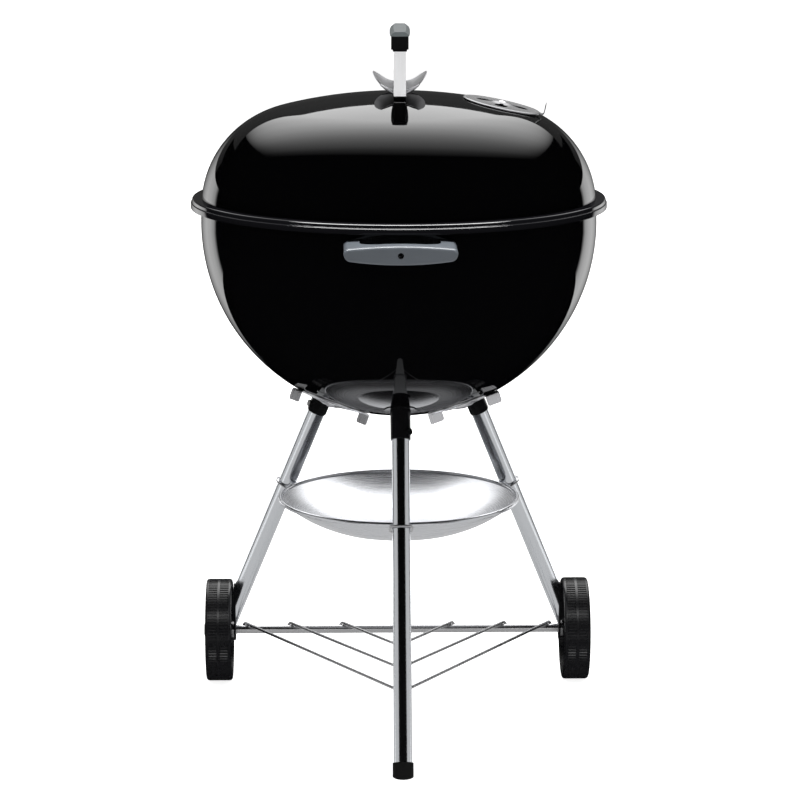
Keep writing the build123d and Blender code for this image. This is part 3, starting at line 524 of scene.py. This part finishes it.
def build_lid(material):
    """Thin shell with its vent holes, and the flange as a piece of its own, which is returned."""
    crown = (0, CROWN_Z)
    knuckle = (KNUCKLE_OFFSET, KNUCKLE_Z)
    outer = arc(crown, CROWN_RADIUS, 90 - POLE_GAP, 90 - KNUCKLE_ANGLE, 40)
    outer += arc(knuckle, KNUCKLE_RADIUS, 90 - KNUCKLE_ANGLE, WALL_LEAN, 48)[1:]
    wall_r = outer[-1][0]
    foot = [(wall_r, FLANGE_TOP - SHEET / 2), (wall_r - SHEET, FLANGE_TOP - SHEET / 2)]
    inner = arc(knuckle, KNUCKLE_RADIUS - SHEET, WALL_LEAN, 90 - KNUCKLE_ANGLE, 32)
    inner += arc(crown, CROWN_RADIUS - SHEET, 90 - KNUCKLE_ANGLE, 90 - POLE_GAP, 24)[1:]
    shell = add_mesh("lid_shell", *lathe(outer + foot + inner, LATHE_STEPS), smooth_angle=LID_SMOOTH_ANGLE)
    cut(shell, vent_cutters("lid_damper", CROWN_RADIUS), LID_SMOOTH_ANGLE)
    use(shell, "lid", "lid", material)
    ring = lathe(flange_outline(wall_r), LATHE_STEPS)
    flange = add_mesh("lid_flange", *ring, smooth_angle=LID_SMOOTH_ANGLE)
    paint(flange, material)
    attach(flange, "lid")
    return flange


def flange_outline(wall_r):
    """Ledge under the lid's wall and the skirt outside it, with a pressed step round the skirt."""
    skirt_in = FLANGE_RADIUS - SHEET
    step = FLANGE_TOP - FLANGE_STEP_DROP
    step_in = FLANGE_RADIUS - FLANGE_STEP_DEPTH
    start = (wall_r - SHEET / 2, FLANGE_TOP - SHEET / 2)
    ledge = [start, (wall_r - LEDGE_OVERLAP, FLANGE_TOP), (step_in, FLANGE_TOP),
             (step_in, step), (FLANGE_RADIUS, step - FLANGE_STEP_HEIGHT),
             (FLANGE_RADIUS, FLANGE_BOTTOM), (skirt_in, FLANGE_BOTTOM),
             (skirt_in - SKIRT_LEAN, FLANGE_TOP - SHEET), (wall_r - SHEET / 2, FLANGE_TOP - SHEET)]
    return rounded(ledge, (0.0001, 0.0026, 0.0004, 0.0012, 0.0006, 0.0006, 0.002), 6)


# ------------------------------------------------------------------ dampers
def damper_disc(name, sphere_radius, disc_radius, turn, tab_turns, tab_size, material):
    """Pressed disc: rolled rim, flat ring, raised middle, four keyhole slots and bent-out tabs."""
    low = sphere_radius + DISC_GAP

    def height(r, lift):
        return sqrt(low ** 2 - r ** 2) + lift

    profile = ((0.0045, MIDDLE_RISE), (0.0105, MIDDLE_RISE), (0.0135, 0.0008), (0.018, VALLEY_RISE),
               (disc_radius - 0.008, VALLEY_RISE), (disc_radius - 0.005, 0.0009),
               (disc_radius - 0.002, RIM_RISE), (disc_radius, 0.0002))
    upper = [(r, height(r, lift + DISC_SHEET)) for r, lift in profile]
    lower = [(r, height(r, lift)) for r, lift in reversed(profile)]
    place = damper_place(name) @ Matrix.Rotation(radians(turn), 4, "Z")
    piece = add_mesh(name + "_disc", *lathe(upper + lower, DISC_STEPS), place)
    cutters = []
    for k in range(4):
        spot = place @ Matrix.Rotation(k * pi / 2, 4, "Z")
        cutters.append((*prism(keyhole(), low - SLOT_REACH, low + SLOT_REACH), spot))
    cut(piece, cutters)
    join_tabs(piece, place, disc_radius, low, tab_turns, tab_size)
    use(piece, name, name, material)


def keyhole():
    """Outline of a disc's slot: a round end over the vent hole and a narrow throat towards the rivet."""
    opening = degrees(asin(SLOT_THROAT / SLOT_END_RADIUS))
    outline = arc((VENT_RING_RADIUS, 0), SLOT_END_RADIUS, opening - 180, 180 - opening, 28)
    return outline + arc((THROAT_PLACE, 0), SLOT_THROAT, 90, 270, 8)


def join_tabs(piece, place, disc_radius, low, tab_turns, tab_size):
    """Adds the finger tabs, bent up with a small radius and with rounded corners."""
    width, height = tab_size
    steps = 10
    base = sqrt(low ** 2 - disc_radius ** 2) + DISC_SHEET / 2
    top = base + height - DISC_SHEET / 2
    reach = disc_radius + TAB_REACH
    side = rounded([(disc_radius - TAB_OVERLAP, base), (reach, base), (reach, top)], (TAB_BEND,), 6)
    side = side[:-1] + [(reach, top - TAB_CORNER * (1 - k / 4)) for k in range(5)]
    rows = []
    for x, z in side:
        drop = max(0.0, z - (top - TAB_CORNER))
        half = width / 2 - (TAB_CORNER - sqrt(max(0.0, TAB_CORNER ** 2 - drop ** 2)))
        rows.append([(x, half * (2 * i / steps - 1), z) for i in range(steps + 1)])
    for turn in tab_turns:
        turned = place @ Matrix.Rotation(radians(turn), 4, "Z")
        tab = add_mesh(piece.name + "_tab", *grid(rows), turned)
        thicken(tab, DISC_SHEET)
        merge_into(piece, tab)


# ------------------------------------------------------------------ wheels
def build_wheel(side, material):
    """Ribbed plastic wheel: two rows of cross ribs, a dished web with spokes, a long hub."""
    half = (WHEEL_OUTER_X - WHEEL_INNER_X) / 2
    rib_end = half - RIB_MARGIN
    rim_r = WHEEL_RADIUS - RIM_DEPTH
    bore_r = AXLE_RADIUS + AXLE_PLAY
    face = half - HUB_INSET
    tread = []
    for z in (-rib_end, -rib_end + RIB_RAMP, -RIB_GAP - RIB_RAMP, -RIB_GAP,
              RIB_GAP, RIB_GAP + RIB_RAMP, rib_end - RIB_RAMP, rib_end):
        tread.append((WHEEL_RADIUS, z))
    bevel_r = rim_r + RIM_BEVEL
    shoulder_r = WHEEL_RADIUS - SHOULDER
    inner_rim = [(rim_r, -half + RIM_CHAMFER), (bevel_r, -half), (shoulder_r, -half), tread[0]]
    outer_rim = [tread[-1], (shoulder_r, half), (bevel_r, half), (rim_r, half - RIM_CHAMFER)]
    outline = rounded(inner_rim, (RIM_ROUND, TREAD_ROUND), 5)[:-1] + tread
    outline += rounded(outer_rim, (TREAD_ROUND, RIM_ROUND), 5)[1:]
    outline += [(rim_r, WEB_EDGE_OUTER[0]), (rim_r - RIM_FILLET, WEB_EDGE_OUTER[1]), *WEB_OUTER]
    outline += [(HUB_RADIUS, half - HUB_ROUND), (HUB_FACE_RADIUS, face), (bore_r, face)]
    outline += [(bore_r, -face), (HUB_FACE_RADIUS, -face), (HUB_RADIUS, -half + HUB_ROUND), *WEB_INNER]
    outline += [(rim_r - RIM_FILLET, WEB_EDGE_INNER[0]), (rim_r, WEB_EDGE_INNER[1])]

    def ribbed(radius, z, step):
        """Lowers the grooves between the ribs."""
        in_row = RIB_GAP + RIB_RAMP / 2 < abs(z) < rib_end - RIB_RAMP / 2
        in_groove = step % STEPS_PER_RIB >= STEPS_PER_RIB // 2
        return radius - GROOVE_DEPTH if in_row and in_groove and radius >= WHEEL_RADIUS else radius

    sign = 1 if side == "right" else -1
    place = frame_at(middle("wheel_" + side), (sign, 0, 0), (0, 0, 1))
    body = lathe(outline, STEPS_PER_RIB * RIBS, stretch=ribbed)
    piece = add_mesh("ribbed_wheel_" + side, *body, place, WHEEL_SMOOTH_ANGLE)
    for k in range(SPOKES):
        add_spoke(piece, place @ Matrix.Rotation(2 * pi * k / SPOKES, 4, "Z"))
    use(piece, "wheel_" + side, "wheel_" + side, material)
    return piece


def add_spoke(piece, place):
    """Low tapered rib on the outer face of the web."""
    rows = []
    for x, half, low, high in SPOKE_STATIONS:
        top = half - SPOKE_BEVEL
        shoulder = high - SPOKE_BEVEL
        rows.append([(x, -half, low), (x, -half, shoulder), (x, -top, high),
                     (x, top, high), (x, half, shoulder), (x, half, low)])
    merge_into(piece, add_mesh("spoke", *grid(rows), place, FOLDED_SMOOTH_ANGLE))


# ------------------------------------------------------------------ heat shield
def build_shield(material):
    """Gutter that bends down at both ends into a plate that narrows towards the strap's foot."""
    columns = 28
    flat_end = SHIELD_END - SHIELD_SHEET / 2 - SHIELD_BEND
    ends = []                  # (distance from the middle, drop, share of the way down)
    for k in range(1, 7):
        angle = radians(90 * k / 6)
        ends.append((flat_end + SHIELD_BEND * sin(angle), SHIELD_BEND * (1 - cos(angle)), 0.0))
    for k in range(1, 9):
        ends.append((flat_end + SHIELD_BEND, SHIELD_BEND, k / 8))
    level = [(flat_end * t / 8, 0.0, 0.0) for t in range(-8, 9)]
    rows = []
    for y, drop, down in [(-y, drop, down) for y, drop, down in reversed(ends)] + level + ends:
        half = SHIELD_HALF_WIDTH * sqrt(1 - (y / SHIELD_PLAN_RADIUS) ** 2)
        plate_half = half * (1 - SHIELD_NARROWING * sin(radians(90 * down)) ** 0.9)
        row = []
        for i in range(columns + 1):
            t = 2 * i / columns - 1
            arch = SHIELD_BOTTOM + SHIELD_RADIUS - sqrt(SHIELD_RADIUS ** 2 - (half * t) ** 2)
            top = arch - drop * (0.3 + 0.7 * (1 - t ** 2))
            foot = SHIELD_FOOT + SHIELD_FOOT_RISE * abs(t)
            row.append((plate_half * t, y, top + (foot - top) * down))
        rows.append(row)
    shift = Matrix.Translation((LID_HANDLE_SHIFT, 0, SHIELD_SHEET / 2))
    place = shift @ Matrix.Rotation(radians(LID_HANDLE_TURN), 4, "Z")
    piece = add_mesh("formed_heat_shield", *grid(rows), place, FOLDED_SMOOTH_ANGLE)
    thicken(piece, SHIELD_SHEET)
    use(piece, "heat_shield", "lid", material)


# ------------------------------------------------------------------ studio
FLOOR_HALF = 60                # metres
FLOOR_GLOW = 0.85
FILL = 0.75                    # glow of the world for diffuse light
LOW = 0.003                    # height of the cards that lie on the floor

# glow of the overhead softbox, from its front edge to its back
OVERHEAD = ((0.06, 0.0), (0.11, 0.6), (0.145, 1.3), (0.22, 2.3), (0.3, 3.3),
            (0.39, 3.8), (0.52, 3.6), (0.66, 3.0), (0.91, 2.5))
REAR_STRIP = ((0.0, 0.0), (0.2, 0.6), (0.42, 1.5), (0.65, 1.9), (0.82, 1.7), (0.97, 0.0))


def add_quad(name, corners):
    mesh = bpy.data.meshes.new(name)
    mesh.from_pydata(corners, [], [(0, 1, 2, 3)])
    quad = bpy.data.objects.new(name, mesh)
    bpy.context.scene.collection.objects.link(quad)
    return quad


def gradient_card(name, corner, across, up, stops, bow=0.0, fade=0.0):
    """Glowing card seen only in reflections and as light: stops are (place along up, glow).

    bow shifts the glow along up with the square of the distance from the card's middle,
    and fade, from 0 to 1, dims it towards both sides.
    """
    corner, across, up = Vector(corner), Vector(across), Vector(up)
    card = add_quad(name, [corner, corner + across, corner + across + up, corner + up])
    mesh = card.data
    mesh.uv_layers.new()
    for loop, uv in zip(mesh.uv_layers[0].data, ((0, 0), (1, 0), (1, 1), (0, 1))):
        loop.uv = uv
    card.visible_camera = False
    card.visible_shadow = False
    material = bpy.data.materials.new(name)
    material.use_nodes = True
    tree = material.node_tree
    tree.nodes.remove(tree.nodes["Principled BSDF"])
    glow = tree.nodes.new("ShaderNodeEmission")
    place = tree.nodes.new("ShaderNodeTexCoord")
    parts = tree.nodes.new("ShaderNodeSeparateXYZ")
    tree.links.new(place.outputs["UV"], parts.inputs[0])
    off_centre = math_node(tree, "SUBTRACT", parts.outputs["X"], 0.5)
    squared = math_node(tree, "MULTIPLY", off_centre, off_centre)
    shift = math_node(tree, "MULTIPLY", squared, bow)
    along = math_node(tree, "SUBTRACT", parts.outputs["Y"], shift)
    ramp = tree.nodes.new("ShaderNodeValToRGB")
    elements = ramp.color_ramp.elements
    peak = max(value for _, value in stops)
    while len(elements) < len(stops):
        elements.new(0.5)
    for element, (where, value) in zip(elements, stops):
        element.position = where
        element.color = (value / peak, value / peak, value / peak, 1)
    tree.links.new(along, ramp.inputs["Fac"])
    tree.links.new(ramp.outputs["Color"], glow.inputs["Color"])
    dimming = math_node(tree, "MULTIPLY", squared, -4.0 * fade * peak)
    tree.links.new(math_node(tree, "ADD", dimming, float(peak)), glow.inputs["Strength"])
    tree.links.new(glow.outputs[0], tree.nodes["Material Output"].inputs["Surface"])
    mesh.materials.append(material)


def math_node(tree, operation, first, second):
    """Output of a maths node; each input is a number or another node's output."""
    node = tree.nodes.new("ShaderNodeMath")
    node.operation = operation
    for socket, value in zip(node.inputs, (first, second)):
        if isinstance(value, float):
            socket.default_value = value
        else:
            tree.links.new(value, socket)
    return node.outputs[0]


def area_light(name, place, target, size, glow, group):
    """Rectangular soft light on a group of pieces; glow is the brightness of its surface."""
    data = bpy.data.lights.new(name, "AREA")
    data.shape = "RECTANGLE"
    data.size, data.size_y = size
    data.energy = glow * size[0] * size[1] * pi
    light = bpy.data.objects.new(name, data)
    light.location = place
    light.rotation_euler = (Vector(target) - Vector(place)).to_track_quat("-Z", "Y").to_euler()
    light.visible_camera = False
    bpy.context.scene.collection.objects.link(light)
    light.light_linking.receiver_collection = group


def add_floor():
    """White ground that glows a little, and isn't seen in reflections."""
    half = FLOOR_HALF
    floor = add_quad("floor", [(-half, -half, 0), (half, -half, 0), (half, half, 0), (-half, half, 0)])
    floor.visible_glossy = False
    m = Surface("floor", (0.93, 0.93, 0.93), 0.9)
    m.shader.inputs["Emission Color"].default_value = (1, 1, 1, 1)
    m.shader.inputs["Emission Strength"].default_value = FLOOR_GLOW
    floor.data.materials.append(m.material)


def add_world():
    """White to the camera, soft grey to diffuse light, black to reflections."""
    world = bpy.data.worlds.new("studio")
    bpy.context.scene.world = world
    world.use_nodes = True
    tree = world.node_tree
    background = tree.nodes["Background"]
    path = tree.nodes.new("ShaderNodeLightPath")
    mix = tree.nodes.new("ShaderNodeMix")
    mix.data_type = "RGBA"
    mix.inputs["A"].default_value = (0.0, 0.0, 0.0, 1)
    mix.inputs["B"].default_value = (FILL, FILL, FILL, 1)
    tree.links.new(path.outputs["Is Diffuse Ray"], mix.inputs["Factor"])
    top = tree.nodes.new("ShaderNodeMix")
    top.data_type = "RGBA"
    top.inputs["B"].default_value = (1, 1, 1, 1)
    tree.links.new(mix.outputs["Result"], top.inputs["A"])
    tree.links.new(path.outputs["Is Camera Ray"], top.inputs["Factor"])
    tree.links.new(top.outputs["Result"], background.inputs["Color"])


def receivers(name, chosen):
    """Collection of the pieces that a linked light may reach."""
    group = bpy.data.collections.new(name)
    for piece in chosen:
        group.objects.link(piece)
    return group


def add_studio(metal_pieces, flange, handles, wheels):
    """Floor, world, the cards that the enamel mirrors, and the lights of each group of pieces."""
    add_floor()
    add_world()
    bare_metal = receivers("bare_metal", metal_pieces)
    grips = receivers("grips", handles)
    tyres = receivers("tyres", wheels)
    pan = receivers("pan", [nodes["ash_pan"]])
    rim = receivers("rim", [flange])
    # the overhead softbox runs from just in front of the grill to far behind it
    gradient_card("overhead", (-2.8, -1.0, 3.1), (5.9, 0, 0), (0, 6.4, 0), OVERHEAD, 1.1, 0.95)
    gradient_card("far_ceiling", (-4, 5.4, 3.1), (8, 0, 0), (0, 7, 0), ((0.0, 0.08), (1.0, 0.06)))
    gradient_card("far_wall", (-7, 10.5, 0.2), (14, 0, 0), (0, 0, 2.9), ((0.0, 0.05), (1.0, 0.06)))
    for side in (-1, 1):
        gradient_card("rear_strip", (side * 0.65, 2.3, -0.45), (0, 0, 1.5), (side * 2.3, 0, 0), REAR_STRIP)
        area_light("side_card", (side * 2.6, -0.4, 0.7), (0, 0, 0.5), (3.0, 2.0), 0.6, bare_metal)
    # name, place, target, size, glow, pieces that it lights
    lights = (("rear_card", (0, 3.2, 0.9), (0, 0, 0.3), (3.0, 2.4), 0.4, bare_metal),
              ("low_card", (0, -1.5, LOW), (0, -1.5, 1), (5.0, 6.0), 0.62, bare_metal),
              ("front_card", (0, -6.0, 0.15), (0, 0, 0.15), (8.0, 1.3), 1.1, bare_metal),
              ("grip_card", (0, -0.46, 2.2), (0, -0.46, 0.72), (1.8, 0.24), 65, grips),
              ("grip_floor", (0, -1.0, LOW), (0, -1.0, 1), (3.0, 3.0), 0.35, grips),
              ("rim_card", (0, -1.0, 3.0), (0, -0.3, 0.75), (5.0, 1.5), 55, rim),
              ("tyre_card", (0, -1.6, 1.9), (0, 0.1, 0.1), (3.0, 0.6), 3.0, tyres),
              ("tyre_floor", (0, -1.2, LOW), (0, -1.2, 1), (3.0, 1.2), 0.8, tyres),
              ("pan_card", (0, -1.3, 0.85), (0, 0, 0.3), (2.4, 0.7), 0.25, pan))
    for light in lights:
        area_light(*light)
    bpy.context.scene.view_settings.view_transform = "Standard"


# ------------------------------------------------------------------ finishes
def finish_nodes():
    """Materials on all nodes, and the visual pieces that stand for some of them.

    Returns the pieces of bare metal, the lid's flange and the wheels.
    """
    # name, colour, roughness from and to, streak scale along X, Y and Z, depth of relief
    tube = metal("tube_aluminium", (0.76, 0.78, 0.81), 0.13, 0.22, (700, 700, 12), 0.000005)
    steel = metal("strap_steel", (0.93, 0.93, 0.94), 0.16, 0.28, (900, 900, 30), 0.00001)
    wire = metal("plated_wire", (0.5, 0.5, 0.51), 0.22, 0.34, (150, 150, 150), 0.00001)
    grate = metal("grate_wire", (0.6, 0.6, 0.6), 0.25, 0.4, (120, 120, 120), 0.00002)
    # the shield's steel is darker than the strap's, 0.6 against 0.93: painted shade on the same steel
    shield_steel = metal("shield_steel", (0.6, 0.6, 0.62), 0.25, 0.4, (60, 400, 60), 0.00001)
    pan = spun_metal("spun_pan", (0.74, 0.75, 0.78), 0.22, 0.32, middle("ash_pan"), (0, 0, 1))
    black_enamel = enamel()
    # name, colour, roughness, scale of the grain, depth of relief
    satin_black = plastic("satin_black", (0.004, 0.004, 0.0045), 0.22, 400, 0.00001)
    grey = plastic("grey_nylon", (0.062, 0.07, 0.08), 0.36, 900, 0.00003)
    # the lid grip's top half is lighter grey than its black lower half: painted sheen on the same black
    # nylon
    grip_top_painted_sheen = plastic("grip_nylon", (0.13, 0.15, 0.155), 0.4, 900, 0.00003)
    black = plastic("black_nylon", (0.005, 0.005, 0.006), 0.36, 900, 0.00002)
    tyre = plastic("wheel_plastic", (0.006, 0.006, 0.007), 0.27, 700, 0.00002)
    rubber = plastic("rubber", (0.008, 0.008, 0.008), 0.55, 500, 0.00003)
    # how a node's name starts, and its finish; the first that fits is used
    finishes = ((("leg_socket", "socket_bolts", "grate_bracket"), satin_black),
                (("leg_",), tube),
                (("ash_pan",), pan),
                (("lid_grip_upper",), grip_top_painted_sheen),
                (("bowl_handle_front", "bowl_handle_rear"), grey),
                (("lid_grip_lower", "axle_insert", "axle_cap"), black),
                (("foot_cap",), rubber),
                (("cooking_grate", "charcoal_grate"), grate),
                (("rack", "pan_clip", "axle", "wheel_washer"), wire),
                (("",), steel))
    for name, node in nodes.items():
        paint(node, next(finish for starts, finish in finishes if name.startswith(starts)))
    build_bowl(black_enamel)
    flange = build_lid(black_enamel)
    wheels = [build_wheel("right", tyre), build_wheel("left", tyre)]
    build_shield(shield_steel)
    bottom = (BOTTOM_RADIUS, BOTTOM_DISC_RADIUS, (0, 180), BOTTOM_TAB, 0.8)
    # the lid disc's tone of 0.2, against 0.8 for the bottom discs, is painted shade on the same spun
    # aluminium
    top = (CROWN_RADIUS, LID_DISC_RADIUS, (0,), LID_TAB, 0.2)
    # name, turn at rest, then radius of the wall and of the disc, places and size of the tabs, tone
    discs = (("bowl_damper_right", RIGHT_DISC_TURN, *bottom),
             ("bowl_damper_left", 0, *bottom),
             ("bowl_damper_rear", 0, *bottom),
             ("lid_damper", 0, *top))
    for name, turn, wall_radius, disc_radius, tab_turns, tab_size, tone_with_painted_shade in discs:
        joint = joints[name]
        colour = (tone_with_painted_shade, tone_with_painted_shade, tone_with_painted_shade * 1.03)
        finish = spun_metal("spun_" + name, colour, 0.2, 0.34, joint["pos_m"], joint["axis"])
        damper_disc(name, wall_radius, disc_radius, turn, tab_turns, tab_size, finish)
    matt = (black_enamel, satin_black, black, grey, grip_top_painted_sheen, rubber, tyre)
    bare = []
    for piece in bpy.data.objects:
        if piece.type == "MESH" and piece.data.materials and piece.data.materials[0] not in matt:
            bare.append(piece)
    return bare, flange, wheels


add_camera()
bare_pieces, lid_flange, ribbed_wheels = finish_nodes()
bowl_handles = [nodes["bowl_handle_front"], nodes["bowl_handle_rear"]]
add_studio(bare_pieces, lid_flange, bowl_handles, ribbed_wheels)
